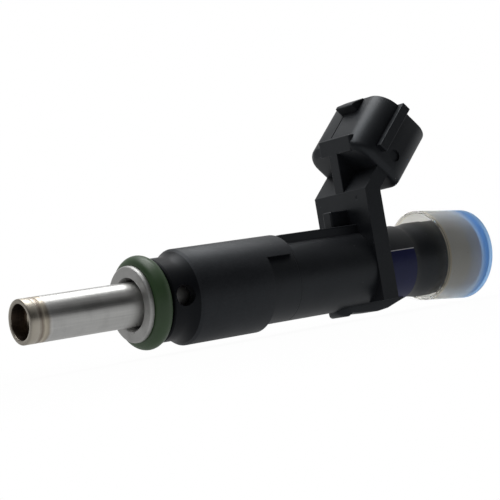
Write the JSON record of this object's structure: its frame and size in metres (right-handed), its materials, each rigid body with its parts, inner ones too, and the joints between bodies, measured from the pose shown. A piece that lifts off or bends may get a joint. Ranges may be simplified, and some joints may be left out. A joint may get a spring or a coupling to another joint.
{
  "type": "fuel_injector",
  "caption": "Port fuel injector with a long steel nozzle, black overmoulded body, angled two-pin connector, seal rings and a transit cap on the fuel inlet",
  "frame": {"origin": "centre of the lower O-ring, on the injector's axis", "axes": "+X from the nozzle tip to the fuel inlet, +Z towards the electrical connector, +Y away from the vent hole's side"},
  "size_m": [0.0891, 0.0162, 0.0359],
  "materials": {
    "brushed_steel": "turned and brushed stainless steel, straw heat tint at the tip weld",
    "valve_steel": "ground bright steel",
    "dark_steel": "dark magnetic steel, lightly oiled",
    "collar_steel": "matt grey steel with small pits",
    "brass": "plain turned brass",
    "copper_wire": "enamelled copper wire, closely wound",
    "grey_plastic": "glass filled nylon",
    "black_plastic": "satin black glass filled nylon with fine speckle",
    "green_rubber": "lightly oiled fluorocarbon rubber",
    "blue_rubber": "lightly oiled fluorosilicone rubber",
    "tinned_terminal": "tin plated brass strip",
    "filter_plastic": "natural nylon",
    "navy_label": "printed adhesive film with white cut edges, no text",
    "milky_plastic": "translucent milky polyethylene"
  },
  "bodies": {
    "injector": {"nozzle_tube": "brushed_steel", "orifice_retainer": "brushed_steel", "orifice_disc": "brushed_steel", "valve_seat": "valve_steel", "ball_guide": "valve_steel", "nonmagnetic_ring": "valve_steel", "pole_core": "dark_steel", "spring_adjuster": "brass", "coil_bobbin": "grey_plastic", "coil_winding": "copper_wire", "magnet_can": "dark_steel", "flux_washer": "dark_steel", "seal_collar": "collar_steel", "lower_o_ring": "green_rubber", "body_sleeve": "black_plastic", "overmould_body": "black_plastic", "terminal_left": "tinned_terminal", "terminal_right": "tinned_terminal", "inlet_tube": "dark_steel", "seal_stop": "black_plastic", "upper_o_ring": "blue_rubber", "inlet_filter": "filter_plastic", "label_band": "navy_label", "return_spring": "valve_steel"},
    "valve": {"valve_ball": "valve_steel", "needle_tube": "valve_steel", "armature": "dark_steel"},
    "cap": {"transit_cap": "milky_plastic"}
  },
  "joints": [
    {"name": "valve_lift", "type": "slide", "parent": "injector", "child": "valve", "axis": [1, 0, 0], "range_m": [0, 0.00008], "stiffness_N_per_m": 2000, "springref_m": -0.002, "deforming": ["return_spring"]},
    {"name": "cap_pull", "type": "slide", "parent": "injector", "child": "cap", "axis": [0.996, 0, -0.0894], "range_m": [0, 0.014]}
  ]
}
